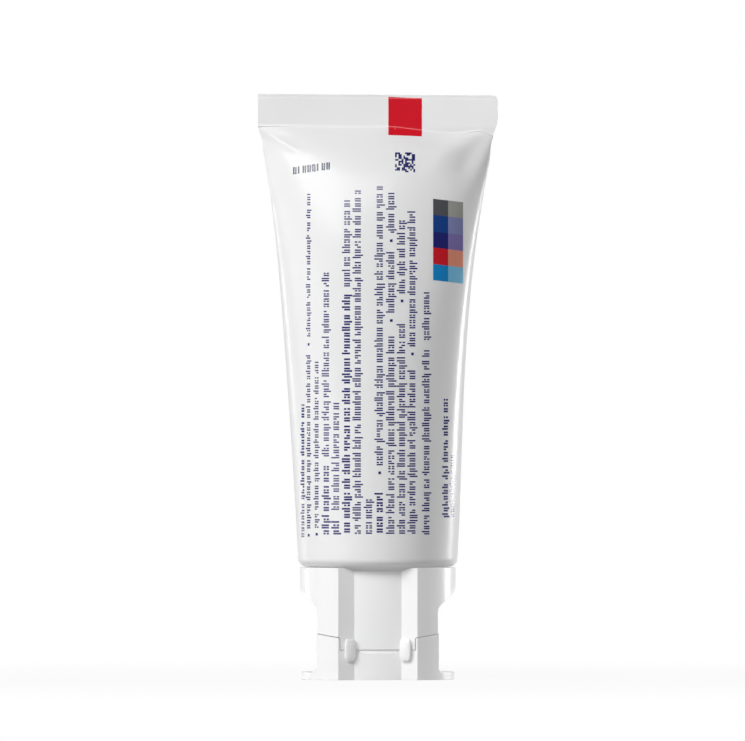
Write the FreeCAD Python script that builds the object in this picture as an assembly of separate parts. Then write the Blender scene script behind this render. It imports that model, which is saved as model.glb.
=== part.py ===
import FreeCAD, Part

import math
import os

# Toothpaste tube, standing upside down on its flip-top lid, in millimetres.
# The origin is the centre of the foot, +Z is up towards the flat seal, the seal runs
# along X and the hinge is at the back, towards -Y.

# Sleeve: a laminate pipe, round at the shoulder and welded flat at its end.
overall_height = 152.9
seal_width = 62.7
seal_height = 8.2
seal_thickness = 0.8
seal_corner_radius = 1.0
sleeve_wall = 0.35
sleeve_bottom = 29.4
shoulder_width = 41.7
lip_radius = 2.2
sleeve_taper_share = 0.5
sleeve_flare_power = 4
sleeve_sections = 12
lip_sections = 4

# Shoulder: the moulded cone and neck that the sleeve is welded to.
shoulder_fit = 0.03
shoulder_plate = 1.2
shoulder_rim_wall = 0.8
shoulder_rim_height = 3.6
shoulder_rim_draft = 0.25
neck_root = 26.5
neck_radius = 7.5
neck_bore_radius = 5.5
neck_end = 14.2
neck_root_flare = 1.0
bead_height = 22.75
bead_radius = 0.6

# Paste: fills the sleeve and the neck.
paste_clearance = 0.05
headspace = 3.0

# Closure: one moulding of a shell, a hinge and a lid.
closure_width = 40.6
closure_depth = 37.2
closure_top = 29.2
closure_wall = 1.3
deck_thickness = 1.35
waist_width = 31.4
scoop_start = 17.75
scoop_radius = 2.35
scoop_angle = 45.0
recess_width = 20.6
recess_wall_angle = 25.0
panel_width = 12.3
panel_crown = 0.7
top_notch_width = 12.4
top_notch_depth = 0.9
top_notch_slant = 2.3
thumb_scoop_radius = 5.0
thumb_scoop_depth = 0.7
thumb_scoop_width = 15.0

# Collar and spout inside the shell.
neck_clearance = 0.1
collar_wall = 1.4
collar_length = 11.6
plug_ring_length = 2.4
plug_ring_wall = 1.25
plug_ring_clearance = 0.05
spout_radius = 4.2
spout_length = 3.55
orifice_radius = 2.75

# Lid.
parting_height = 11.95
parting_slant = 0.9
parting_gap = 0.2
lid_width = 31.86
flange_width = 39.8
flange_thickness = 1.9
flange_fillet = 1.1
foot_thickness = 1.6
plug_clearance = 0.2
plug_engagement = 1.3
plug_tip_height = 1.0
plug_tip_taper = 0.7

# Hinge.
tongue_width = 19.4
tongue_drop = 4.15
tongue_root_radius = 0.65
film_width = 10.2
film_height = 0.9
film_thickness = 0.5
film_inset = 0.35
strap_place = 7.1
strap_crest_length = 1.9
strap_base_length = 3.8
strap_height = 5.8
strap_rise = 0.8

# How far a cutting shape runs past the surface that it opens.
cut_past = 1.0

# Values worked out from the sizes above.
seal_bottom = overall_height - seal_height
sleeve_girth = 2 * seal_width
shell_bottom = parting_height + parting_gap / 2
lid_top = shell_bottom - parting_gap
deck_top = shell_bottom + deck_thickness
tongue_bottom = shell_bottom - tongue_drop
spout_end = shell_bottom - spout_length
plate_bottom = sleeve_bottom + sleeve_wall + shoulder_fit
plate_top = plate_bottom + shoulder_plate
rim_top = plate_bottom + shoulder_rim_height
lip_top = sleeve_bottom + lip_radius
BIG = 3 * overall_height


def vec(x, y, z):
    return FreeCAD.Vector(x, y, z)


def oval(half_width, half_depth, z):
    """A closed oval wire around the Z axis."""
    stretch = FreeCAD.Matrix()
    stretch.scale(half_width, half_depth, 1)
    edge = Part.makeCircle(1).transformGeometry(stretch)
    edge.translate(vec(0, 0, z))
    return Part.Wire(edge.Edges)


def oval_girth(a, b):
    return math.pi * (3 * (a + b) - math.sqrt((3 * a + b) * (a + 3 * b)))


def half_depth_of_sleeve(half_width):
    """The pipe's girth never changes, so its width gives its depth."""
    low = seal_thickness / 2
    high = sleeve_girth / 2
    for _ in range(60):
        middle = (low + high) / 2
        if oval_girth(half_width, middle) > sleeve_girth:
            high = middle
        else:
            low = middle
    return low


def half_width_of_sleeve(share):
    """Half width at a share of the way from the shoulder to the seal."""
    straight = sleeve_taper_share * share
    flare = (1 - sleeve_taper_share) * share ** sleeve_flare_power
    return shoulder_width / 2 + (seal_width - shoulder_width) / 2 * (straight + flare)


def sleeve_lip(inset):
    """Oval sections of the rounded lower edge, from its underside upwards."""
    a = shoulder_width / 2
    b = half_depth_of_sleeve(a)
    radius = lip_radius - inset
    sections = []
    for step in range(lip_sections + 1):
        turn = math.radians(90 * (1 - step / lip_sections))
        pull = inset + radius * (1 - math.cos(turn))
        sections.append(oval(a - pull, b - pull, lip_top - radius * math.sin(turn)))
    return Part.makeLoft(sections, True)


def sleeve_body(inset, top):
    """The pipe above its lip, with its outside moved in by inset, up to a height."""
    sections = []
    for step in range(sleeve_sections + 1):
        rise = (top - lip_top) * (1 - (1 - step / sleeve_sections) ** 2)
        share = rise / (seal_bottom - lip_top)
        a = half_width_of_sleeve(share)
        b = half_depth_of_sleeve(a)
        sections.append(oval(a - inset, max(b - inset, sleeve_wall / 2), lip_top + rise))
    return Part.makeLoft(sections, True)


def sleeve_inside(inset, top):
    return sleeve_lip(inset).fuse(sleeve_body(inset, top))


def seal():
    """The flat weld, with its upper corners slightly rounded."""
    half = seal_width / 2
    low = seal_bottom - seal_thickness
    height = overall_height - low
    bar = Part.makeBox(seal_width, seal_thickness, height, vec(-half, -seal_thickness / 2, low))
    corners = [edge for edge in bar.Edges if is_top_corner(edge)]
    return bar.makeFillet(seal_corner_radius, corners)


def is_top_corner(edge):
    across = abs(edge.Vertexes[0].Y - edge.Vertexes[1].Y) > seal_thickness / 2
    return across and edge.CenterOfMass.z > overall_height - seal_height / 2


def tube_sleeve():
    outside = sleeve_inside(0, seal_bottom)
    hollow = sleeve_inside(sleeve_wall, seal_bottom - seal_thickness)
    a = shoulder_width / 2 - lip_radius
    b = half_depth_of_sleeve(shoulder_width / 2) - lip_radius
    mouth = Part.Face(oval(a, b, sleeve_bottom - cut_past)).extrude(vec(0, 0, 2 * cut_past))
    return outside.cut(hollow).cut(mouth).fuse(seal())


def cone(half_width, half_depth, z_wide, radius, z_narrow):
    """A cone from an oval down to a circle."""
    return Part.makeLoft([oval(radius, radius, z_narrow), oval(half_width, half_depth, z_wide)],
                         True, True)


def disc(radius, low, high):
    return Part.makeCylinder(radius, high - low, vec(0, 0, low))


def tube_shoulder():
    inset = sleeve_wall + shoulder_fit
    a = shoulder_width / 2
    b = half_depth_of_sleeve(a)
    draft = inset + shoulder_rim_draft
    band_bottom = lip_top - lip_radius / 4
    band = Part.Face(oval(a - draft, b - draft, band_bottom)).extrude(
        vec(0, 0, rim_top - band_bottom))
    puck = sleeve_lip(inset).fuse(band)
    pull = inset + shoulder_rim_wall
    rim_hole = Part.Face(oval(a - pull, b - pull, plate_top)).extrude(
        vec(0, 0, shoulder_rim_height))
    outer_cone = cone(a - lip_radius, b - lip_radius, plate_bottom + shoulder_plate / 2,
                      neck_radius + neck_root_flare, neck_root)
    inner_cone = cone(a - lip_radius, b - lip_radius, plate_top,
                      neck_bore_radius, neck_root + shoulder_plate)
    neck = disc(neck_radius, neck_end, plate_top)
    bead = Part.makeTorus(neck_radius, bead_radius, vec(0, 0, bead_height))
    bore = disc(neck_bore_radius, neck_end - cut_past, plate_top)
    solid = puck.cut(rim_hole).fuse([outer_cone, neck, bead])
    return solid.cut(inner_cone).cut(bore)


def toothpaste():
    fill = sleeve_inside(sleeve_wall + paste_clearance, seal_bottom - headspace)
    a = shoulder_width / 2
    b = half_depth_of_sleeve(a)
    pull = sleeve_wall + shoulder_fit + shoulder_rim_wall + paste_clearance
    main = fill.common(above(rim_top + paste_clearance))
    in_rim = Part.Face(oval(a - pull, b - pull, plate_top + paste_clearance)).extrude(
        vec(0, 0, rim_top - plate_top))
    in_cone = cone(a - lip_radius - paste_clearance, b - lip_radius - paste_clearance,
                   plate_top + paste_clearance, neck_bore_radius - paste_clearance,
                   neck_root + shoulder_plate + paste_clearance)
    in_neck = disc(neck_bore_radius - paste_clearance,
                   deck_top + plug_ring_length + paste_clearance, plate_top)
    return main.fuse([in_rim, in_cone, in_neck])


def meet_oval(point, direction, centre_y, a, b):
    """The last place where a line in plan crosses an oval centred on the Y axis."""
    px = point[0] / a
    py = (point[1] - centre_y) / b
    dx = direction[0] / a
    dy = direction[1] / b
    square = dx * dx + dy * dy
    half = px * dx + py * dy
    rest = px * px + py * py - 1
    run = (-half + math.sqrt(half * half - square * rest)) / square
    return point[0] + run * direction[0], point[1] + run * direction[1]


def recess_wall(inset):
    """A point and the outward direction of the right recess wall, in plan."""
    a = closure_width / 2
    b = closure_depth / 2
    edge_x = recess_width / 2
    edge_y = -b * math.sqrt(1 - (edge_x / a) ** 2)
    slope = math.radians(recess_wall_angle)
    run = edge_x - panel_width / 2
    inner_x = panel_width / 2
    inner_y = edge_y + run * math.tan(slope)
    along = (math.cos(slope), -math.sin(slope))
    inward = (math.sin(slope), math.cos(slope))
    return (inner_x + inset * inward[0], inner_y + inset * inward[1]), along, inward


def panel_circle():
    """Height of the centre and radius of the crowned centre panel, in plan."""
    (inner_x, inner_y), _, _ = recess_wall(0)
    radius = (inner_x ** 2 + panel_crown ** 2) / (2 * panel_crown)
    return inner_y - panel_crown + radius, radius


def back_plan(inset):
    """Plan of the back half of the closure, moved in by inset."""
    a = closure_width / 2 - inset
    b = closure_depth / 2 - inset
    point, along, _ = recess_wall(inset)
    outer = meet_oval(point, along, 0, a, b)
    centre, radius = panel_circle()
    back = (-along[0], -along[1])
    inner = meet_wall_and_panel(outer, back, centre, radius - inset)
    crown = centre - radius + inset
    stretch = FreeCAD.Matrix()
    stretch.scale(a, b, 1)
    edges = []
    for side in (1, -1):
        turn = math.asin(-outer[1] / b)
        arc = Part.Arc(vec(side, 0, 0),
                       vec(side * math.cos(turn / 2), -math.sin(turn / 2), 0),
                       vec(side * math.cos(turn), -math.sin(turn), 0)).toShape()
        edges.append(arc.transformGeometry(stretch).Edges[0])
        edges.append(Part.makeLine(vec(side * outer[0], outer[1], 0),
                                   vec(side * inner[0], inner[1], 0)))
    edges.append(Part.Arc(vec(inner[0], inner[1], 0), vec(0, crown, 0),
                          vec(-inner[0], inner[1], 0)).toShape())
    edges.append(Part.makeLine(vec(a, 0, 0), vec(-a, 0, 0)))
    return Part.Face(Part.Wire(Part.__sortEdges__(edges)))


def meet_wall_and_panel(start, back, centre, radius):
    """Where the recess wall, walked inwards from its outer edge, meets the panel's circle."""
    px = start[0]
    py = start[1] - centre
    half = px * back[0] + py * back[1]
    rest = px * px + py * py - radius * radius
    run = -half - math.sqrt(half * half - rest)
    return start[0] + run * back[0], start[1] + run * back[1]


def shell_outline(inset, ear_reach):
    """Right half of the shell seen from the front: waist, scoop and ear."""
    waist = waist_width / 2 - inset
    ear = closure_width / 2 - inset
    turn = math.radians(scoop_angle)
    across = scoop_radius * (1 - math.cos(turn))
    rise = scoop_radius * math.sin(turn)
    slant = (ear - waist - 2 * across) / math.tan(turn)
    low = scoop_start
    high = low + 2 * rise + slant
    half_across = scoop_radius * (1 - math.cos(turn / 2))
    half_rise = scoop_radius * math.sin(turn / 2)
    edges = [
        Part.makeLine(vec(0, 0, shell_bottom), vec(waist, 0, shell_bottom)),
        Part.makeLine(vec(waist, 0, shell_bottom), vec(waist, 0, low)),
        Part.Arc(vec(waist, 0, low), vec(waist + half_across, 0, low + half_rise),
                 vec(waist + across, 0, low + rise)).toShape(),
        Part.makeLine(vec(waist + across, 0, low + rise), vec(ear - across, 0, high - rise)),
        Part.Arc(vec(ear - across, 0, high - rise), vec(ear - half_across, 0, high - half_rise),
                 vec(ear, 0, high)).toShape(),
    ]
    if ear_reach:
        edges.append(Part.makeLine(vec(ear, 0, high), vec(ear + ear_reach, 0, high)))
    edges += [
        Part.makeLine(vec(ear + ear_reach, 0, high), vec(ear + ear_reach, 0, closure_top)),
        Part.makeLine(vec(ear + ear_reach, 0, closure_top), vec(0, 0, closure_top)),
        Part.makeLine(vec(0, 0, closure_top), vec(0, 0, shell_bottom)),
    ]
    return Part.Face(Part.Wire(edges))


def lid_outline(inset, _):
    """Right half of the lid seen from the front: wall, fillet and foot flange."""
    wall = lid_width / 2 - inset
    flange = flange_width / 2 - inset
    fillet_top = flange_thickness + flange_fillet
    bend = flange_fillet * (1 - math.cos(math.radians(45)))
    edges = [
        Part.makeLine(vec(0, 0, 0), vec(flange, 0, 0)),
        Part.makeLine(vec(flange, 0, 0), vec(flange, 0, flange_thickness)),
        Part.makeLine(vec(flange, 0, flange_thickness),
                      vec(wall + flange_fillet, 0, flange_thickness)),
        Part.Arc(vec(wall + flange_fillet, 0, flange_thickness),
                 vec(wall + bend, 0, flange_thickness + bend),
                 vec(wall, 0, fillet_top)).toShape(),
        Part.makeLine(vec(wall, 0, fillet_top), vec(wall, 0, lid_top)),
        Part.makeLine(vec(wall, 0, lid_top), vec(0, 0, lid_top)),
        Part.makeLine(vec(0, 0, lid_top), vec(0, 0, 0)),
    ]
    return Part.Face(Part.Wire(edges))


def closure_form(outline, inset):
    """A closure body: turned at the front, and straight from front to back behind."""
    stretch = FreeCAD.Matrix()
    stretch.scale(1, (closure_depth - 2 * inset) / (closure_width - 2 * inset), 1)
    turned = outline(inset, 0).revolve(vec(0, 0, 0), vec(0, 0, 1), 180)
    front = turned.transformGeometry(stretch)
    right = outline(inset, closure_wall)
    left = right.mirror(vec(0, 0, 0), vec(1, 0, 0))
    sides = right.extrude(vec(0, -closure_depth, 0)).fuse(left.extrude(vec(0, -closure_depth, 0)))
    plan = back_plan(inset).extrude(vec(0, 0, closure_top))
    return front.fuse(sides.common(plan)).removeSplitter()


def above(z):
    return Part.makeBox(BIG, BIG, BIG, vec(-BIG / 2, -BIG / 2, z))


def tongue_face(offset):
    """Front view of the tongue that hangs from the shell, grown by offset all round.

    Beside the tongue, the shell's lower edge slants up to its plain height at the waist.
    """
    half = tongue_width / 2 + offset
    root = tongue_width / 2 + tongue_root_radius
    waist = waist_width / 2
    root_top = shell_bottom - parting_slant
    arc_middle = root_top - tongue_root_radius
    bend = (tongue_root_radius - offset) * math.cos(math.radians(45))
    low = tongue_bottom - offset
    high = shell_bottom + deck_thickness / 2
    edges = []
    for side in (1, -1):
        edges.append(Part.makeLine(vec(0, 0, low), vec(side * half, 0, low)))
        edges.append(Part.makeLine(vec(side * half, 0, low), vec(side * half, 0, arc_middle)))
        edges.append(Part.Arc(vec(side * half, 0, arc_middle),
                              vec(side * (root - bend), 0, arc_middle + bend),
                              vec(side * root, 0, root_top - offset)).toShape())
        edges.append(Part.makeLine(vec(side * root, 0, root_top - offset),
                                   vec(side * waist, 0, shell_bottom - offset)))
        edges.append(Part.makeLine(vec(side * waist, 0, shell_bottom - offset),
                                   vec(side * waist, 0, high)))
    edges.append(Part.makeLine(vec(waist, 0, high), vec(-waist, 0, high)))
    return Part.Face(Part.Wire(Part.__sortEdges__(edges)))


def tongue_slab(offset):
    """The tongue's outline carried through the back half of the closure."""
    return tongue_face(offset).extrude(vec(0, -closure_depth, 0))


def tongue():
    ring = back_plan(0).extrude(vec(0, 0, deck_top)).cut(
        back_plan(closure_wall).extrude(vec(0, 0, deck_top)))
    return ring.common(tongue_slab(0)).common(behind_recess(0))


def behind_recess(reach):
    """The space behind the start of the recess walls, made deeper by reach."""
    (_, inner_y), _, _ = recess_wall(2 * closure_wall)
    return Part.makeBox(BIG, BIG, BIG, vec(-BIG / 2, inner_y + reach - BIG, -BIG / 2))


def top_notch():
    """The shallow dip in the middle of the shell's back upper edge."""
    half = top_notch_width / 2
    low = closure_top - top_notch_depth
    points = [vec(-half, 0, low), vec(half, 0, low),
              vec(half + top_notch_slant, 0, closure_top),
              vec(half + top_notch_slant, 0, closure_top + cut_past),
              vec(-half - top_notch_slant, 0, closure_top + cut_past),
              vec(-half - top_notch_slant, 0, closure_top), vec(-half, 0, low)]
    return Part.Face(Part.makePolygon(points)).extrude(vec(0, -closure_depth, 0))


def thumb_scoop():
    """The hollow over the lid's front edge, where a thumb lifts it."""
    front = waist_width / 2 * closure_depth / closure_width
    place = vec(-thumb_scoop_width / 2, front - thumb_scoop_depth + thumb_scoop_radius,
                shell_bottom)
    return Part.makeCylinder(thumb_scoop_radius, thumb_scoop_width, place, vec(1, 0, 0))


def cap_shell():
    hollow = closure_form(shell_outline, closure_wall).common(above(deck_top))
    neck_hole = neck_radius + neck_clearance
    collar_top = deck_top + collar_length
    groove = Part.makeTorus(neck_radius, bead_radius + neck_clearance, vec(0, 0, bead_height))
    collar = disc(neck_hole + collar_wall, shell_bottom, collar_top).cut(
        disc(neck_hole, deck_top, collar_top)).cut(groove)
    ring_radius = neck_bore_radius - plug_ring_clearance
    ring = disc(ring_radius, shell_bottom, deck_top + plug_ring_length)
    spout = disc(spout_radius, spout_end, deck_top)
    skin = closure_form(shell_outline, 0).cut(hollow).cut(top_notch()).cut(thumb_scoop())
    solid = skin.fuse([collar, ring, spout, tongue()])
    ring_bore = disc(ring_radius - plug_ring_wall, deck_top, deck_top + plug_ring_length)
    orifice = disc(orifice_radius, spout_end - cut_past, deck_top + cut_past)
    return solid.cut(ring_bore).cut(orifice)


def plug():
    """The pin on the lid that stops the spout."""
    radius = orifice_radius - plug_clearance
    top = spout_end + plug_engagement
    tip_bottom = top - plug_tip_height
    stem = disc(radius, foot_thickness / 2, tip_bottom)
    tip = Part.makeCone(radius, radius - plug_tip_taper, plug_tip_height, vec(0, 0, tip_bottom))
    return stem.fuse(tip)


def film_notch():
    """The gap in the lid's back wall that the hinge film bridges."""
    low = tongue_bottom - film_height
    return Part.makeBox(film_width, closure_depth, film_height,
                        vec(-film_width / 2, -closure_depth, low)).common(behind_recess(0))


def cap_lid():
    hollow = closure_form(lid_outline, closure_wall).common(above(foot_thickness))
    skin = closure_form(lid_outline, 0).cut(hollow)
    skin = skin.cut(tongue_slab(parting_gap).common(behind_recess(parting_gap)))
    skin = skin.cut(film_notch())
    return skin.fuse(plug())


def strap(side):
    """A bowed strap over the hinge line, on one recess wall: a slice of a tapered disc."""
    chord = strap_height / 2
    radius = (chord ** 2 + strap_rise ** 2) / (2 * strap_rise)
    crest = strap_crest_length / 2
    base = strap_base_length / 2
    points = [vec(-base, 0, 0), vec(-base, radius - strap_rise, 0), vec(-crest, radius, 0),
              vec(crest, radius, 0), vec(base, radius - strap_rise, 0), vec(base, 0, 0),
              vec(-base, 0, 0)]
    whole = Part.Face(Part.makePolygon(points)).revolve(vec(0, 0, 0), vec(1, 0, 0), 360)
    whole.translate(vec(0, radius - strap_rise, 0))
    point, along, _ = recess_wall(0)
    run = (strap_place - point[0]) / along[0]
    whole.rotate(vec(0, 0, 0), vec(0, 0, 1), -side * recess_wall_angle)
    whole.translate(vec(side * strap_place, point[1] + run * along[1], tongue_bottom))
    return whole.cut(back_plan(0).extrude(vec(0, 0, closure_top)))


def living_hinge():
    """The thin film across the centre panel, and the two straps beside it."""
    low = tongue_bottom - film_height
    ring = back_plan(film_inset).extrude(vec(0, 0, closure_top)).cut(
        back_plan(film_inset + film_thickness).extrude(vec(0, 0, closure_top)))
    slab = Part.makeBox(film_width - parting_gap, closure_depth, film_height,
                        vec(-(film_width - parting_gap) / 2, -closure_depth, low))
    return Part.makeCompound([ring.common(slab).common(behind_recess(0)), strap(1), strap(-1)])


def hinge_axis():
    """Depth and height of the hinge line: the outer lower edge of the tongue."""
    point, along, _ = recess_wall(0)
    run = (tongue_width / 2 + parting_gap - point[0]) / along[0]
    return point[1] + run * along[1], tongue_bottom - parting_gap / 2


nodes = {
    "tube_sleeve": tube_sleeve,
    "tube_shoulder": tube_shoulder,
    "toothpaste": toothpaste,
    "cap_shell": cap_shell,
    "cap_lid": cap_lid,
    "living_hinge": living_hinge,
}

os.makedirs("parts", exist_ok=True)
for name, make in nodes.items():
    shape = make()
    shape.exportStep("parts/" + name + ".step")
    print(name, "volume", round(shape.Volume, 1), "solids", len(shape.Solids),
          "valid", shape.isValid())
print("hinge axis at y %.3f z %.3f" % hinge_axis())
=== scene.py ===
import math
import random

import bpy
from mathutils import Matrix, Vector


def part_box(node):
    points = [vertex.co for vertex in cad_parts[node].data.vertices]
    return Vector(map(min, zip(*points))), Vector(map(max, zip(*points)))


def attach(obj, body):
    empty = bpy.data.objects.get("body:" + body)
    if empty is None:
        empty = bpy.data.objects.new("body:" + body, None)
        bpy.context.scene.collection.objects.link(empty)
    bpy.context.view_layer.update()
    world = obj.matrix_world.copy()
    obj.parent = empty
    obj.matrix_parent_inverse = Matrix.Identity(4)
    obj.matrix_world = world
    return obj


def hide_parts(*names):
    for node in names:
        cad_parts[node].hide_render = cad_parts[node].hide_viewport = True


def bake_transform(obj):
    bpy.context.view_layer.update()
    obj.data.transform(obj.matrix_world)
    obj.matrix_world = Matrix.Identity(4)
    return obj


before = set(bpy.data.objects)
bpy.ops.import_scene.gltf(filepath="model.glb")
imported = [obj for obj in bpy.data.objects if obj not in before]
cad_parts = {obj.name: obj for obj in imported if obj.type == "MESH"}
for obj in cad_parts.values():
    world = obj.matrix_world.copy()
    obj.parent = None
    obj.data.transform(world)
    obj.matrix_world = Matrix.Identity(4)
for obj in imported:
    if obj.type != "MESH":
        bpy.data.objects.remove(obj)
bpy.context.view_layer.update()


# The lid: white polypropylene, injection moulded in one piece with the shell and the hinge.
# Its flat end is the foot that the tube stands on, and its pin stops the spout.
# The steel mould leaves every outer edge slightly rounded and the surface glossy.
MM = 0.001
PLASTIC_WHITES = (0.865, 0.865, 0.87, 1), (0.89, 0.89, 0.892, 1)
# A faint painted glow on the white plastic, standing in for light scattered inside it.
PAINTED_PLASTIC_GLOW = 0.07
EDGE_ROUNDING = 0.22


class Shade:
    """A shader socket that adds up and multiplies like a number."""

    def __init__(self, tree, socket=None):
        self.tree = tree
        self.socket = socket

    def node(self, kind, settings, inputs, output=0):
        """A new node: its settings are set first, then its sockets get values or links."""
        made = self.tree.nodes.new("ShaderNode" + kind)
        for name, value in settings.items():
            setattr(made, name, value)
        for name, value in inputs.items():
            if isinstance(value, Shade):
                self.tree.links.new(value.socket, made.inputs[name])
            else:
                made.inputs[name].default_value = value
        return Shade(self.tree, made.outputs[output]) if made.outputs else made

    def maths(self, operation, first, second):
        return self.node("Math", {"operation": operation}, {0: first, 1: second})

    def __add__(self, other):
        return self.maths("ADD", self, other)

    def __radd__(self, other):
        return self.maths("ADD", other, self)

    def __mul__(self, other):
        return self.maths("MULTIPLY", self, other)

    def __rmul__(self, other):
        return self.maths("MULTIPLY", other, self)


def new_material(name):
    """An empty material, and a wire to build its nodes from."""
    material = bpy.data.materials.new(name)
    material.use_nodes = True
    tree = material.node_tree
    tree.nodes.clear()
    return material, Shade(tree)


def cloudy(wire, scale, detail):
    """A soft noise fixed to the piece, with scale lumps to a metre."""
    place = wire.node("TexCoord", {}, {}, "Object")
    return wire.node("TexNoise", {}, {"Vector": place, "Scale": scale, "Detail": detail})


def mix_colours(mask, low, high):
    """The colour between two, by a mask that goes from 0 to 1."""
    return mask.node("Mix", {"data_type": "RGBA"}, {"Factor": mask, 6: low, 7: high}, 2)


def finish_skin(wire, colour, roughness, height, lift, coat, coat_roughness=0.06, glow=0.0,
                rounding=0.0, gloss=0.5):
    """A glossy surface from a colour, a roughness and a height, and a painted glow of that colour;
    lift and rounding are in mm.
    """
    relief = {"Height": height, "Distance": lift * MM, "Strength": 1.0}
    if rounding:
        relief["Normal"] = wire.node("Bevel", {"samples": 8}, {"Radius": rounding * MM})
    bump = wire.node("Bump", {}, relief)
    skin = wire.node("BsdfPrincipled", {}, {
        "Base Color": colour, "Roughness": roughness, "Normal": bump, "IOR": 1.49,
        "Specular IOR Level": gloss, "Coat Weight": coat, "Coat Roughness": coat_roughness,
        "Emission Color": colour, "Emission Strength": glow})
    wire.node("OutputMaterial", {}, {"Surface": skin})


def moulded_plastic():
    material, wire = new_material("glossy_white_polypropylene")
    flow = cloudy(wire, 90.0, 2.0)
    grain = cloudy(wire, 2600.0, 3.0)
    colour = mix_colours(flow, *PLASTIC_WHITES)
    # The plastic glows faintly by itself: a painted glow, not a lamp.
    finish_skin(wire, colour, 0.3 + 0.1 * grain, grain + 0.5 * flow, lift=0.003, coat=0.25,
                coat_roughness=0.16, glow=PAINTED_PLASTIC_GLOW, rounding=EDGE_ROUNDING)
    return material


def dress(node, material):
    """Gives a node of the frame its finish."""
    for place in node.material_slots:
        place.link = "OBJECT"
        place.material = material


closure_plastic = moulded_plastic()
dress(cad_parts["cap_lid"], closure_plastic)


# The shell: the upper part of the same moulding, pressed over the neck until it snaps home.
# Its ears meet the sleeve, its scooped waist gives the thumb room, and its tongue hangs
# down to the hinge at the back.
dress(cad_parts["cap_shell"], closure_plastic)


# The hinge: a thin film across the centre panel, and two bowed straps beside it that pull
# the lid open or shut. All three are moulded with the closure and bend between the shell
# and the lid.
HINGE_LOW, HINGE_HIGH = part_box("living_hinge")
TONGUE_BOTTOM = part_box("cap_shell")[0][2]
STRAP_PLACE = 7.1 * MM
STRAP_WALL_ANGLE = math.radians(25)
STRAP_CREST = 0.95 * MM
STRAP_HALF = 1.6 * MM
STRAP_RISE = 0.5 * MM
STRAP_TAPER = 0.4
STRAP_ROWS = 36
STRAP_ARC = 14
STRAP_EMBED = 0.2 * MM
HINGE_WIDTH = 10.0 * MM
HINGE_HEIGHT = 0.9 * MM
HINGE_THICKNESS = 0.5 * MM
HINGE_COLUMNS = 24
HINGE_ROWS = 10
PANEL_CROWN = 0.7 * MM
PANEL_HALF = 6.15 * MM


def new_piece(name, points, faces, material, body=None, smooth_angle=35):
    """A mesh piece in the shared frame, shaded smooth up to an angle."""
    mesh = bpy.data.meshes.new(name)
    mesh.from_pydata(points, [], faces)
    mesh.validate()
    mesh.materials.append(material)
    for polygon in mesh.polygons:
        polygon.use_smooth = True
    mesh.set_sharp_from_angle(angle=math.radians(smooth_angle))
    piece = bpy.data.objects.new(name, mesh)
    bpy.context.scene.collection.objects.link(piece)
    if body:
        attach(piece, body)
    return piece


def tube_faces(rows, columns, closed=True):
    """Faces of a lattice of rows of points that go round, capped at both ends."""
    faces = []
    for row in range(rows - 1):
        for column in range(columns):
            after = (column + 1) % columns
            faces.append((row * columns + column, row * columns + after,
                          (row + 1) * columns + after, (row + 1) * columns + column))
    if closed:
        faces.append(tuple(reversed(range(columns))))
        faces.append(tuple((rows - 1) * columns + column for column in range(columns)))
    return faces


def strap_points(side):
    """Rows of a bowed strap, from its foot on the lid to its foot on the shell.

    It stands farthest out of the wall, and is widest, half way between its feet.
    """
    chord = (HINGE_HIGH[2] - HINGE_LOW[2]) / 2
    middle = (HINGE_HIGH[2] + HINGE_LOW[2]) / 2
    along = (math.cos(STRAP_WALL_ANGLE), -math.sin(STRAP_WALL_ANGLE))
    outward = (-math.sin(STRAP_WALL_ANGLE), -math.cos(STRAP_WALL_ANGLE))
    wall_y = (HINGE_LOW[1] + STRAP_RISE * math.cos(STRAP_WALL_ANGLE)
              - STRAP_CREST * math.sin(STRAP_WALL_ANGLE))
    points = []
    for row in range(STRAP_ROWS + 1):
        turn = math.pi * row / STRAP_ROWS
        share = abs(math.cos(turn))
        rise = STRAP_RISE * (1 - share ** 3) ** 0.7
        half = STRAP_HALF * (1 - STRAP_TAPER * share ** 4)
        section = [(-half, -STRAP_EMBED)]
        for step in range(STRAP_ARC + 1):
            bow = math.pi * step / STRAP_ARC
            section.append((-half * math.cos(bow), rise * math.sin(bow) ** 0.8))
        section.append((half, -STRAP_EMBED))
        for across, out in section:
            points.append((side * (STRAP_PLACE + across * along[0] + out * outward[0]),
                           wall_y + across * along[1] + out * outward[1],
                           middle - chord * math.cos(turn)))
    return points, len(section)


def hinge_film_points():
    """Rows of the film, round its outline, from the lid's wall up to the tongue."""
    radius = (PANEL_HALF ** 2 + PANEL_CROWN ** 2) / (2 * PANEL_CROWN)
    inner_face = HINGE_HIGH[1]
    crown = PANEL_CROWN * (HINGE_WIDTH / 2 / PANEL_HALF) ** 2
    points = []
    for row in range(HINGE_ROWS + 1):
        z = TONGUE_BOTTOM - HINGE_HEIGHT * (1 - row / HINGE_ROWS)
        for depth in (HINGE_THICKNESS, 0):
            for column in range(HINGE_COLUMNS + 1):
                x = HINGE_WIDTH * (column / HINGE_COLUMNS - 0.5)
                if depth:
                    x = -x
                bow = crown - (radius - math.sqrt(radius ** 2 - x ** 2))
                points.append((x, inner_face - bow - depth, z))
    return points


def bend_with_hinge(piece):
    """Sets the piece's placing into its points."""
    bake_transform(piece)


def make_hinge():
    faces = tube_faces(HINGE_ROWS + 1, 2 * (HINGE_COLUMNS + 1))
    film = new_piece("hinge_film", hinge_film_points(), faces, closure_plastic)
    bend_with_hinge(film)
    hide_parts("living_hinge")
    for side, name in ((-1, "hinge_strap_left"), (1, "hinge_strap_right")):
        points, columns = strap_points(side)
        faces = tube_faces(STRAP_ROWS + 1, columns)
        if side > 0:
            faces = [tuple(reversed(face)) for face in faces]
        strap = new_piece(name, points, faces, closure_plastic)
        bend_with_hinge(strap)


make_hinge()


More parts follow.
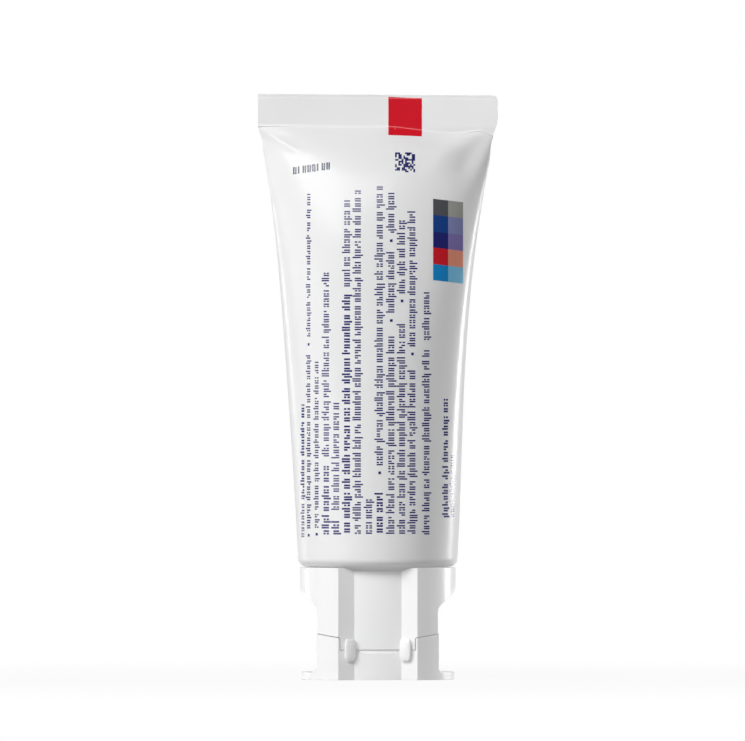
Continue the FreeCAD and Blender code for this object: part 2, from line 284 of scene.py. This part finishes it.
# The shoulder: natural polyethylene, injection moulded onto the end of the sleeve.
# Its cone ends in the neck, whose bead holds the shell. It has a painted glow that stands in for
# light shining through it.
SHOULDER_WHITES = (0.62, 0.62, 0.62, 1), (0.68, 0.68, 0.68, 1)
# A painted glow on the shoulder, in place of light shining through the polyethylene.
PAINTED_SHOULDER_GLOW = 0.2


def natural_polyethylene():
    material, wire = new_material("natural_polyethylene")
    cloud = cloudy(wire, 160.0, 3.0)
    colour = mix_colours(cloud, *SHOULDER_WHITES)
    finish_skin(wire, colour, 0.38 + 0.1 * cloud, cloud, lift=0.004, coat=0.1,
                coat_roughness=0.2, glow=PAINTED_SHOULDER_GLOW)
    return material


dress(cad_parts["tube_shoulder"], natural_polyethylene())


# The sleeve: white laminate film, rolled into a pipe, welded to the shoulder at one end
# and, once filled, welded flat at the other. Its girth never changes, so it narrows in
# depth as it widens towards the seal, and it creases below the seal's corners.
# Sizes here, and in the paste's, the print's and the marks' sections, are in millimetres.
SLEEVE_LOW, SLEEVE_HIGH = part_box("tube_sleeve")
SEAL_HALF = SLEEVE_HIGH[0] / MM
SEAL_TOP = SLEEVE_HIGH[2] / MM
SLEEVE_FOOT = SLEEVE_LOW[2] / MM
SEAL_HEIGHT = 8.2
SEAL_FOOT = SEAL_TOP - SEAL_HEIGHT
SEAL_THICKNESS = 0.8
SHOULDER_HALF = 20.85
LIP_RADIUS = 2.2
LIP_RIDGE = 0.05
FILM_WALL = 0.35
GIRTH = 4 * SEAL_HALF - 0.05
SIDE_SAG = -0.6
SIDE_TUCK = 0.5
WEDGE_PINCH, WEDGE_REACH = 0.5, 5
SEAL_DROP = 0.15
SEAL_TILT = 0.4
SEAL_LEAN = 0.5
SEAL_GROOVE = 0.07
CORNER_CUT = 1.35
CORNER_ROUND = 0.35
CORNER_DROP = 0.45
CORNER_REACH = 9
FLARE = 0.22
FLARE_HEIGHT = 0.9
# Each crease or hollow: how far it stands out, its two ends as (x, height), and its width.
FRONT_CREASES = [(0.38, (-30.5, 143.5), (-20, 137.5), 1.1),
                 (-0.45, (-30.0, 139.0), (-24, 127), 2.4),
                 (-0.75, (28.5, 142.0), (21.0, 131), 3.2),
                 (0.2, (21.5, 143.0), (13.5, 132), 2.4)]
BACK_CREASES = [(0.35, (30.0, 143.0), (21, 136), 1.3),
                (-0.6, (-28.0, 142.5), (-20, 130), 2.6),
                (-0.4, (26.0, 139.0), (22, 126), 2.6)]
FILM_WHITES = (0.835, 0.835, 0.84, 1), (0.865, 0.865, 0.868, 1)
# The weld's film is painted lighter than the wall's: painted light for its flat faces, which catch
# more light.
WELD_PAINTED_LIGHTER = (0.9, 0.9, 0.905, 1)
TURNS = 256
WALL_ROWS = 150
SEAL_ROWS = 36
LIP_ROWS = 8
INNER_ROWS = 40


def half_depth(half):
    """Half depth of an oval that has the sleeve's girth, found by halving."""
    low, high = SEAL_THICKNESS / 2, SEAL_HALF
    for _ in range(40):
        depth = (low + high) / 2
        girth = math.pi * (3 * (half + depth)
                           - math.sqrt((3 * half + depth) * (half + 3 * depth)))
        if girth > GIRTH:
            high = depth
        else:
            low = depth
    return low


def bell(value, middle, width):
    """One at the middle, falling to nothing on both sides."""
    return math.exp(-((value - middle) / width) ** 2)


def ease(value, low, high):
    """Rises smoothly from 0 at low to 1 at high."""
    share = min(max((value - low) / (high - low), 0), 1)
    return share * share * (3 - 2 * share)


def half_width(height):
    """Half width of the sleeve, which flares towards the seal."""
    share = min((height - SLEEVE_FOOT - LIP_RADIUS) / (SEAL_FOOT - SLEEVE_FOOT - LIP_RADIUS), 1)
    return SHOULDER_HALF + (SEAL_HALF - SHOULDER_HALF) * (0.5 * share + 0.5 * share ** 4)


def side_sag(height):
    """The filled sleeve leans a little to the left about its middle."""
    fade = 1 - 0.75 * ease(height, 95, 140) - 0.25 * ease(height, 140, SEAL_FOOT)
    return SIDE_SAG * ease(height, 36, 90) * fade


def along_crease(x, z, start, end, width):
    """One near the line from start to end, falling to nothing beside it and past its ends."""
    run = (end[0] - start[0], end[1] - start[1])
    length = math.hypot(*run)
    share = ((x - start[0]) * run[0] + (z - start[1]) * run[1]) / length ** 2
    off = ((x - start[0]) * run[1] - (z - start[1]) * run[0]) / length
    return bell(off, 0, width) * ease(share, -0.25, 0.2) * (1 - ease(share, 0.6, 1.25))


def swell(x, z, front):
    """How far the filled sleeve stands out of its plain form, in millimetres."""
    creases, phase = (FRONT_CREASES, 0.7) if front else (BACK_CREASES, 2.9)
    out = sum(lift * along_crease(x, z, start, end, width)
              for lift, start, end, width in creases)
    waves = 0.07 * math.sin(0.19 * x + 0.08 * z + phase) + 0.05 * math.sin(0.11 * z - 0.23 * x)
    return out + waves * ease(z, 34, 60) * (1 - ease(z, 138, SEAL_FOOT))


def fold_shift(x):
    """How far the weld's lower edge strays from its level: it wanders, and dips at the right."""
    dips = 0.4 * ease(x, -25, -10) + 1.6 * ease(x, 0, 20) + 1.1 * ease(x, 27, 31)
    return 0.7 * ease(x, 20, 27) - 0.5 - dips


def right_corner(across, share):
    """How far the weld's right edge is cut back, share of the way up the weld."""
    cut = CORNER_CUT * (1 - ease(share, -0.1, 0.45)) + CORNER_ROUND * ease(share, 0.93, 1.0)
    return cut * max(across, 0) ** CORNER_REACH


def flatness(deep):
    """One over the weld's flat faces, falling to nothing at its two side edges."""
    return min(1, abs(deep) * 14)


def seal_point(turn, share, inset):
    """A point on the flat weld, share of the way up it."""
    across, deep = math.cos(turn), math.sin(turn)
    x = (SEAL_HALF - inset) * across
    side = 1 if deep > 0 else -1
    top = SEAL_TOP - SEAL_DROP - SEAL_TILT * (0.5 + 0.5 * across)
    foot = SEAL_FOOT + fold_shift(x)
    z = foot + (top - foot) * share
    x -= right_corner(across, share)
    z -= CORNER_DROP * share * ease(across, 0.985, 1.0)
    groove = SEAL_GROOVE * bell(top - z, 0.7, 0.22)
    flare = FLARE * max(1 - (z - foot) / FLARE_HEIGHT, 0) ** 2
    half = SEAL_THICKNESS / 2 - groove + flare - inset
    sway = 0.3 * math.sin(0.09 * x + 0.6) + 0.08 * math.sin(0.31 * x) + SEAL_LEAN
    return x, side * flatness(deep) * half + sway * share, z


def wall_depth(height):
    """Half depth of the filled sleeve, which leaves the weld as a wedge."""
    pinch = 1 - WEDGE_PINCH * math.exp((height - SEAL_FOOT) / WEDGE_REACH)
    return max(half_depth(half_width(height)) * pinch, SEAL_THICKNESS / 2)


def wall_point(turn, height, inset):
    """A point on the sleeve below the weld."""
    a = half_width(height)
    b = wall_depth(height)
    across, deep = math.cos(turn), math.sin(turn)
    tuck = SIDE_TUCK * bell(height, 141.2, 2.0) * max(-across, 0) ** 6
    x = (a - inset - tuck) * across + side_sag(height)
    near_weld = ease(height, SEAL_FOOT - 8, SEAL_FOOT)
    pointed = 1 + 0.3 * ease(height, 112, 142) * (1 - ease(height, 142, SEAL_FOOT))
    depth = max(b - inset, 0.02) * abs(deep) ** pointed + FLARE * flatness(deep) * near_weld
    side = 1 if deep > 0 else -1
    y = side * depth
    z = height + fold_shift(x) * near_weld
    x -= right_corner(across, 0) * ease(height, 135, SEAL_FOOT)
    out = swell(x, height, side < 0) * min(1, abs(deep) * 1.6)
    slope = math.hypot(across * b, deep * a)
    x += out * across * b / slope
    y += out * deep * a / slope
    return x, y, z


def lip_point(turn, curl, inset):
    """A point on the rounded lower edge, curl degrees round it from the wall."""
    radius = LIP_RADIUS - inset
    pull = inset + radius * (1 - math.cos(math.radians(curl)))
    ridge = LIP_RIDGE * bell(curl, 38, 7)
    a = SHOULDER_HALF - pull - ridge
    b = half_depth(SHOULDER_HALF) - pull - ridge
    z = SLEEVE_FOOT + LIP_RADIUS - radius * math.sin(math.radians(curl))
    return a * math.cos(turn), b * math.sin(turn), z


def ring(make, turns):
    """A row of points round the sleeve, in metres."""
    return [tuple(MM * value for value in make(2 * math.pi * step / turns))
            for step in range(turns)]


def wall_heights(rows, top):
    """Row heights, closer together towards the seal."""
    low = SLEEVE_FOOT + LIP_RADIUS
    return [low + (top - low) * (1 - (1 - row / rows) ** 1.35) for row in range(rows + 1)]


def sleeve_rows():
    """The film from its inner top, down inside, round the lip and up outside to the top."""
    rows = []
    for height in reversed(wall_heights(INNER_ROWS, SEAL_FOOT - 1.2)):
        rows.append(ring(lambda turn: wall_point(turn, height, FILM_WALL), TURNS))
    for step in range(1, LIP_ROWS + 1):
        curl = 90 * step / LIP_ROWS
        rows.append(ring(lambda turn: lip_point(turn, curl, FILM_WALL), TURNS))
    for step in range(4 * LIP_ROWS, 0, -1):
        curl = 90 * step / (4 * LIP_ROWS)
        rows.append(ring(lambda turn: lip_point(turn, curl, 0), TURNS))
    for height in wall_heights(WALL_ROWS, SEAL_FOOT):
        rows.append(ring(lambda turn: wall_point(turn, height, 0), TURNS))
    # The weld's rows lie closer at its edges, and the first one is just above the wall's last.
    for step in range(SEAL_ROWS + 1):
        share = 0.5 - 0.5 * math.cos(math.pi * (0.06 + 0.94 * step / SEAL_ROWS))
        rows.append(ring(lambda turn: seal_point(turn, share, 0), TURNS))
    return rows


def end_strip(first, turns):
    """Closes a flattened end, from one side of the ring to the other."""
    faces = []
    for step in range(turns // 2):
        near, far = step, (turns - step) % turns
        near_next, far_next = step + 1, (turns - step - 1) % turns
        corners = [first + near, first + near_next, first + far_next, first + far]
        faces.append(tuple(dict.fromkeys(corners)))
    return [face for face in faces if len(face) > 2]


def laminate_film():
    material, wire = new_material("glossy_white_laminate")
    ripple = cloudy(wire, 420.0, 2.0)
    wave = cloudy(wire, 55.0, 1.0)
    place = wire.node("TexCoord", {}, {}, "Object")
    height = wire.node("SeparateXYZ", {}, {0: place}, "Z")
    # Painted light: the film is coloured lighter over the weld than below it.
    welded = wire.node("MapRange", {"interpolation_type": "SMOOTHSTEP"}, {
        "Value": height, "From Min": (SEAL_FOOT - 1.5) * MM, "From Max": SEAL_FOOT * MM})
    colour = mix_colours(welded, mix_colours(wave, *FILM_WHITES), WELD_PAINTED_LIGHTER)
    finish_skin(wire, colour, 0.3 + 0.06 * ripple, ripple * 0.2 + wave * 2.0, lift=0.012,
                coat=0.16, coat_roughness=0.12, gloss=0.3)
    return material


def make_sleeve():
    rows = sleeve_rows()
    points = [point for row in rows for point in row]
    faces = tube_faces(len(rows), TURNS, closed=False)
    last = (len(rows) - 1) * TURNS
    faces += end_strip(last, TURNS)
    faces += [tuple(reversed(face)) for face in end_strip(0, TURNS)]
    sleeve = new_piece("laminate_sleeve", points, faces, laminate_film(),
                       "tube", 50)
    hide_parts("tube_sleeve")


make_sleeve()


# The paste: a smooth pale blue gel that fills the sleeve, the cone and the neck.
# It is out of sight while the tube is whole.
PASTE_TOP = 141.7
PASTE_GAP = 0.1
PASTE_TURNS = 64
GEL_BLUES = (0.5, 0.72, 0.82, 1), (0.62, 0.8, 0.87, 1)
# The filling of the neck and the cone: height, half width and half depth.
NECK_FILL = [(15.85, 5.4, 5.4), (27.75, 5.4, 5.4), (31.05, 18.5, 16.7), (31.05, 19.4, 17.6),
             (33.4, 19.4, 17.6)]


def paste_gel():
    material, wire = new_material("pale_blue_gel")
    swirl = cloudy(wire, 120.0, 2.0)
    colour = mix_colours(swirl, *GEL_BLUES)
    finish_skin(wire, colour, 0.22 + 0.1 * swirl, swirl, lift=0.05, coat=0.6)
    return material


def make_paste():
    rows = []
    for height, a, b in NECK_FILL:
        rows.append(ring(lambda turn: (a * math.cos(turn), b * math.sin(turn), height),
                         PASTE_TURNS))
    for height in wall_heights(INNER_ROWS, PASTE_TOP):
        if height > NECK_FILL[-1][0] + 0.5:
            rows.append(ring(lambda turn: wall_point(turn, height, FILM_WALL + PASTE_GAP),
                             PASTE_TURNS))
    points = [point for row in rows for point in row]
    paste = new_piece("paste_fill", points, tube_faces(len(rows), PASTE_TURNS), paste_gel(),
                      "tube")
    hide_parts("toothpaste")


make_paste()


# The print: glossy inks on the film, shown as plain fields and rows of strokes.
# The lines of small print run up the tube, and each is a row of upright strokes and dots.
INK_LIFT = 0.04
STROKE = 0.36
BOLD_STROKE = 0.46
STROKE_PITCH = 0.67
BOLD_PITCH = 0.76
TYPE_HEIGHT = 1.6
SMALL_TYPE_HEIGHT = 1.2
SMALL_TYPE_EDGE = -15.0
BULLET_SIZE = 0.7
PAIRING = 0.16
WORD_LENGTHS = (4, 5, 6, 7, 8, 9, 10, 12, 14)
VIOLET = (0.024, 0.022, 0.165)
# Forms of a stroke: the draw below which each is chosen, and its parts from foot to top.
STROKE_FORMS = [(0.5, [(0.0, 1.0)]), (0.68, [(0.0, 1.38)]), (0.76, [(-0.36, 1.0)]),
                (0.9, [(0.0, 0.42), (0.62, 1.0)]), (0.95, [(0.45, 1.0)]), (1.0, [(0.0, 0.6)])]
PLAIN, BOLD, BULLET = "plain", "bold", "bullet"
# Each line of print: its place across the tube, and the stretches that it fills going up.
TEXT_LINES = [
    (-19.5, [(37.1, 72.8, BOLD)]),
    (-18.0, [(37.3, 38.2, BULLET), (39.4, 85.0, PLAIN), (87.0, 87.8, BULLET),
             (89.4, 127.2, PLAIN)]),
    (-15.9, [(37.6, 38.5, BULLET), (39.6, 84.1, PLAIN)]),
    (-13.4, [(37.9, 56.7, BOLD), (58.2, 107.8, PLAIN)]),
    (-10.8, [(37.9, 43.0, BOLD), (44.3, 73.1, PLAIN)]),
    (-8.0, [(38.4, 101.0, BOLD), (102.4, 125.3, PLAIN)]),
    (-5.2, [(38.1, 127.9, PLAIN)]),
    (-2.3, [(38.1, 49.3, PLAIN)]),
    (0.5, [(38.4, 49.3, BOLD), (53.6, 54.5, BULLET), (55.9, 129.5, PLAIN)]),
    (3.5, [(38.1, 90.1, PLAIN), (93.2, 94.1, BULLET), (95.6, 112.0, PLAIN),
           (114.0, 114.9, BULLET), (116.4, 127.7, PLAIN)]),
    (6.3, [(38.1, 95.0, PLAIN), (98.3, 99.2, BULLET), (100.6, 120.6, PLAIN)]),
    (9.0, [(38.1, 81.2, PLAIN), (84.5, 85.4, BULLET), (86.8, 122.5, PLAIN)]),
    (12.7, [(37.9, 86.7, PLAIN), (88.5, 101.3, PLAIN)]),
    (17.7, [(42.3, 73.9, BOLD)]),
    (19.5, [(42.3, 59.3, PLAIN)]),
]


def film_at(x, z):
    """A point of the printed face, from its place before the film sags and swells."""
    if z > SEAL_FOOT:
        turn = -math.acos(max(min(x / SEAL_HALF, 1), -1))
        return seal_point(turn, (z - SEAL_FOOT) / (SEAL_TOP - SEAL_FOOT), 0)
    turn = -math.acos(max(min((x - side_sag(z)) / half_width(z), 1), -1))
    return wall_point(turn, z, 0)


def film_point(x, z):
    """The point of the printed face at x and z, found in a few steps, and its way out."""
    px, pz = x, z
    for _ in range(4):
        here = film_at(px, pz)
        px += x - here[0]
        pz += z - here[2]
    step = 0.05
    here = film_at(px, pz)
    right = film_at(px + step, pz)
    up = film_at(px, pz + step)
    u = [right[i] - here[i] for i in range(3)]
    v = [up[i] - here[i] for i in range(3)]
    out = (u[1] * v[2] - u[2] * v[1], u[2] * v[0] - u[0] * v[2], u[0] * v[1] - u[1] * v[0])
    size = math.sqrt(sum(value * value for value in out))
    return here, [value / size for value in out]


class InkSheet:
    """Patches of ink that follow the film, gathered into one mesh."""

    def __init__(self):
        self.points = []
        self.faces = []
        self.tints = []

    def patch(self, corner, u_edge, v_edge, columns, rows, tint=0):
        """A thin closed slab from a corner and its two edges, given as (x, z) in mm."""
        first = len(self.points)
        wide = columns + 1
        layer = wide * (rows + 1)
        placed = []
        for row in range(rows + 1):
            for column in range(wide):
                s, t = column / columns, row / rows
                placed.append(film_point(corner[0] + s * u_edge[0] + t * v_edge[0],
                                         corner[1] + s * u_edge[1] + t * v_edge[1]))
        for lift in (INK_LIFT, -INK_LIFT):
            for place, out in placed:
                self.points.append([MM * (place[i] + lift * out[i]) for i in range(3)])
        faces = []
        for row in range(rows):
            for column in range(columns):
                a = first + row * wide + column
                faces.append((a, a + 1, a + wide + 1, a + wide))
                b = a + layer
                faces.append((b, b + wide, b + wide + 1, b + 1))
        rim = [first + column for column in range(columns)]
        rim += [first + row * wide + columns for row in range(rows)]
        rim += [first + rows * wide + column for column in range(columns, 0, -1)]
        rim += [first + row * wide for row in range(rows, 0, -1)]
        for here, after in zip(rim, rim[1:] + rim[:1]):
            faces.append((after, here, here + layer, after + layer))
        self.faces += faces
        self.tints += [tint] * len(faces)

    def piece(self, name, materials):
        made = new_piece(name, self.points, self.faces, materials[0],
                         "tube", 50)
        for material in materials[1:]:
            made.data.materials.append(material)
        for polygon, tint in zip(made.data.polygons, self.tints):
            polygon.material_index = tint
        return made


def ink(name, colour):
    material, wire = new_material(name)
    mottle = cloudy(wire, 900.0, 2.0)
    pale = tuple(0.92 * value + 0.004 for value in colour)
    tone = mix_colours(mottle, (*colour, 1), (*pale, 1))
    finish_skin(wire, tone, 0.2 + 0.06 * mottle, mottle, lift=0.001, coat=0.2,
                coat_roughness=0.1, gloss=0.45)
    return material


def slant_of_film(x):
    """Width seen from the front of one millimetre of film."""
    here, _ = film_point(x - 0.2, 60)
    there, _ = film_point(x + 0.2, 60)
    return abs(there[0] - here[0]) / math.hypot(there[0] - here[0], there[1] - here[1])


def set_word(sheet, x, foot, count, stroke, pitch, height, chance):
    """A word of plain upright strokes, reading upwards; their tops point to the left."""
    seen = slant_of_film(x)
    base = x + height / 2 * seen
    for step in range(count):
        place = foot + (step - PAIRING * (step % 2)) * pitch
        draw = chance.random()
        parts = next(parts for limit, parts in STROKE_FORMS if draw < limit)
        for low, high in parts:
            columns = 2 if high > 0.6 else 1
            sheet.patch((base - low * height * seen, place), ((low - high) * height * seen, 0),
                        (0, stroke), columns, 1)


def set_text():
    chance = random.Random(11)
    sheet = InkSheet()
    for x, spans in TEXT_LINES:
        height = SMALL_TYPE_HEIGHT if x < SMALL_TYPE_EDGE else TYPE_HEIGHT
        for low, high, weight in spans:
            if weight == BULLET:
                seen = slant_of_film(x)
                sheet.patch((x + BULLET_SIZE / 2 * seen, low), (-BULLET_SIZE * seen, 0),
                            (0, BULLET_SIZE), 1, 1)
                continue
            stroke = BOLD_STROKE if weight == BOLD else STROKE
            pitch = BOLD_PITCH if weight == BOLD else STROKE_PITCH
            z = low
            while z < high - 2 * pitch:
                count = min(chance.choice(WORD_LENGTHS), int((high - z) / pitch))
                set_word(sheet, x, z, count, stroke, pitch, height, chance)
                z += (count + 1) * pitch
    sheet.piece("small_print", [ink("violet_ink", VIOLET)])


set_text()


# The packer's marks: a red eye mark on the weld, a square code of dots, a row of batch
# strokes and two columns of colour checks, each ink beside its half tint.
EYE_LEFT, EYE_WIDTH, EYE_HEIGHT = 2.75, 8.75, 10.0
EYE_TOP_GAP, EYE_DROP = 0.9, -0.35
EYE_RED = (0.7, 0.002, 0.016)
CODE_CORNER, CODE_CELLS, CODE_SIZE = (4.5, 132.2), 12, 5.2
CODE_FILL = 0.56
CODE_NAVY = (0.016, 0.018, 0.13)
BATCH_START, BATCH_STEP, BATCH_COUNT = (-22.1, 131.7), (1.24, 0.17), 8
BATCH_HEIGHT = 1.9
BATCH_STROKE = (0.4, 0.04)
BATCH_PARTNER, PARTNER_PLACE, PARTNER_CHANCE = (0.34, 0.04), 0.56, 0.7
BATCH_BAR, BAR_THICKNESS, BAR_CHANCE = (0.9, 0.1), 0.3, 0.6
BAR_HEIGHTS = (0.0, 0.8, 1.6)
BATCH_NAVY = (0.006, 0.022, 0.07)
CHECK_LEFT, CHECK_WIDTH, CHECK_DROP = 14.4, 3.9, -0.45
CHECK_HEIGHTS = [125.3, 121.1, 116.7, 112.6, 108.3, 104.1]
# Each check: the name of its ink, the full ink and its half tint.
CHECK_INKS = [("grey_ink", (0.075, 0.08, 0.09), (0.33, 0.335, 0.31)),
              ("blue_ink", (0.002, 0.045, 0.235), (0.21, 0.23, 0.45)),
              ("navy_ink", (0.008, 0.01, 0.15), (0.2, 0.165, 0.41)),
              ("red_ink", (0.62, 0.004, 0.014), (0.78, 0.29, 0.19)),
              ("cyan_ink", (0.001, 0.24, 0.6), (0.2, 0.53, 0.78))]


def print_eye_mark():
    eye = InkSheet()
    eye.patch((EYE_LEFT, SEAL_TOP - EYE_TOP_GAP - EYE_HEIGHT), (EYE_WIDTH, EYE_DROP),
              (0, EYE_HEIGHT), 20, 60)
    eye.piece("eye_mark", [ink("eye_mark_red", EYE_RED)])


def print_code(chance):
    """A plain random pattern, which encodes nothing."""
    code = InkSheet()
    cell = CODE_SIZE / CODE_CELLS
    for row in range(CODE_CELLS):
        for column in range(CODE_CELLS):
            if chance.random() < CODE_FILL:
                code.patch((CODE_CORNER[0] + column * cell, CODE_CORNER[1] + row * cell),
                           (cell, 0), (0, cell), 1, 1)
    code.piece("code_print", [ink("deep_navy_ink", CODE_NAVY)])


def print_batch(chance):
    """A row of strokes, some with a partner or a cross bar."""
    batch = InkSheet()
    for step in range(BATCH_COUNT):
        x = BATCH_START[0] + step * BATCH_STEP[0]
        z = BATCH_START[1] + step * BATCH_STEP[1]
        batch.patch((x, z), BATCH_STROKE, (0, BATCH_HEIGHT), 1, 2)
        if chance.random() < PARTNER_CHANCE:
            batch.patch((x + PARTNER_PLACE, z), BATCH_PARTNER, (0, BATCH_HEIGHT), 1, 2)
        if chance.random() < BAR_CHANCE:
            batch.patch((x, z + chance.choice(BAR_HEIGHTS)), BATCH_BAR, (0, BAR_THICKNESS), 1, 1)
    batch.piece("batch_strokes", [ink("teal_navy_ink", BATCH_NAVY)])


def print_checks():
    checks = InkSheet()
    inks = []
    for index, (name, colour, tint) in enumerate(CHECK_INKS):
        inks += [ink(name, colour), ink(name + "_tint", tint)]
        high, low = CHECK_HEIGHTS[index], CHECK_HEIGHTS[index + 1]
        for column in range(2):
            corner = (CHECK_LEFT + column * CHECK_WIDTH, low + column * CHECK_DROP)
            checks.patch(corner, (CHECK_WIDTH, CHECK_DROP), (0, high - low), 8, 8,
                         2 * index + column)
    checks.piece("colour_checks", inks)


mark_chance = random.Random(5)
print_eye_mark()
print_code(mark_chance)
print_batch(mark_chance)
print_checks()


# The studio: a pale floor that goes over into a white ground, broad soft lights high up and
# at the left, and two narrow ones behind the tube that draw bright lines near its edges.
PX_PER_MM = 3.83
IMAGE_WIDTH, IMAGE_HEIGHT = 745, 741
FOOT_LINE, CENTRE_LINE = 679, 377.8
CAMERA_DISTANCE = 4.0
AIM_X = (IMAGE_WIDTH / 2 - CENTRE_LINE) / PX_PER_MM * MM
AIM_Z = (FOOT_LINE - IMAGE_HEIGHT / 2) / PX_PER_MM * MM
FLOOR_RADIUS, FLOOR_SIDES = 1.6, 96
FLOOR_PAINT = (0.42, 0.42, 0.42, 1)
SHADOW_NEAR, SHADOW_FAR, SHADOW_WHITE = 0.06, 0.3, 0.94
WHITE = (1, 1, 1, 1)
AMBIENT = 0.12
BACKDROP_SHINE = 0.45
LAMP_AIM = 0.08


def make_floor():
    """A disc that shows white, apart from a faint shadow round the tube."""
    turns = [2 * math.pi * step / FLOOR_SIDES for step in range(FLOOR_SIDES)]
    points = [(FLOOR_RADIUS * math.cos(turn), FLOOR_RADIUS * math.sin(turn), 0) for turn in turns]
    mesh = bpy.data.meshes.new("floor")
    mesh.from_pydata(points, [], [tuple(range(FLOOR_SIDES))])
    floor = bpy.data.objects.new("floor", mesh)
    bpy.context.scene.collection.objects.link(floor)
    material, wire = new_material("pale_floor")
    place = wire.node("TexCoord", {}, {}, "Object")
    away = wire.node("VectorMath", {"operation": "LENGTH"}, {0: place}, "Value")
    far = wire.node("MapRange", {"interpolation_type": "SMOOTHSTEP"}, {
        "Value": away, "From Min": SHADOW_NEAR, "From Max": SHADOW_FAR,
        "To Min": SHADOW_WHITE, "To Max": 1.0})
    seen = wire.node("LightPath", {}, {}, "Is Camera Ray")
    seen += wire.node("LightPath", {}, {}, "Is Glossy Ray")
    seen += wire.node("LightPath", {}, {}, "Is Transmission Ray")
    paint = wire.node("BsdfDiffuse", {}, {"Color": FLOOR_PAINT})
    glow = wire.node("Emission", {}, {"Color": WHITE, "Strength": 1.0})
    both = wire.node("MixShader", {}, {0: far * seen, 1: paint, 2: glow})
    wire.node("OutputMaterial", {}, {"Surface": both})
    mesh.materials.append(material)


def make_world():
    """A dim white room that the camera sees as white, with a pale wall behind the tube."""
    world = bpy.data.worlds.new("studio")
    bpy.context.scene.world = world
    world.use_nodes = True
    world.node_tree.nodes.clear()
    wire = Shade(world.node_tree)
    camera_ray = wire.node("LightPath", {}, {}, "Is Camera Ray")
    glossy_ray = wire.node("LightPath", {}, {}, "Is Glossy Ray")
    clear_ray = wire.node("LightPath", {}, {}, "Is Transmission Ray")
    away = wire.node("SeparateXYZ", {}, {0: wire.node("TexCoord", {}, {}, "Generated")}, "Y")
    behind = wire.node("Math", {"operation": "MAXIMUM"}, {0: away, 1: 0.0})
    seen = camera_ray + clear_ray + glossy_ray * behind * BACKDROP_SHINE
    level = AMBIENT + (1 - AMBIENT) * seen
    sky = wire.node("Background", {}, {"Color": WHITE, "Strength": level})
    wire.node("OutputWorld", {}, {"Surface": sky})


def add_softbox(name, azimuth, elevation, distance, width, height, power):
    """An area light that faces the tube. Azimuth 0 is the camera's side, positive to the right."""
    turn, lift = math.radians(azimuth), math.radians(elevation)
    light = bpy.data.lights.new(name, "AREA")
    light.shape = "RECTANGLE"
    light.size = width
    light.size_y = height
    light.energy = power
    lamp = bpy.data.objects.new(name, light)
    bpy.context.scene.collection.objects.link(lamp)
    lamp.location = (distance * math.cos(lift) * math.sin(turn),
                     -distance * math.cos(lift) * math.cos(turn),
                     LAMP_AIM + distance * math.sin(lift))
    lamp.rotation_euler = (math.pi / 2 - lift, 0, turn)


def make_camera():
    data = bpy.data.cameras.new("camera")
    data.sensor_fit = "HORIZONTAL"
    data.sensor_width = 36
    data.lens = data.sensor_width * CAMERA_DISTANCE / (IMAGE_WIDTH / PX_PER_MM * MM)
    data.clip_end = 20
    camera = bpy.data.objects.new("camera", data)
    bpy.context.scene.collection.objects.link(camera)
    camera.location = (AIM_X, -CAMERA_DISTANCE, AIM_Z)
    camera.rotation_euler = (math.pi / 2, 0, 0)
    bpy.context.scene.camera = camera


make_floor()
make_world()
add_softbox("key_softbox", -40, 33, 2.2, 1.5, 0.9, 34)
add_softbox("front_softbox", -6, 36, 2.2, 0.8, 0.5, 7)
add_softbox("left_softbox", -66, 4, 2.2, 1.9, 0.44, 7)
add_softbox("right_strip", 122, 4, 1.5, 0.32, 1.6, 30)
add_softbox("left_strip", -126, 4, 1.5, 0.16, 1.6, 8)
make_camera()
bpy.context.scene.view_settings.view_transform = "Standard"

bpy.context.view_layer.update()
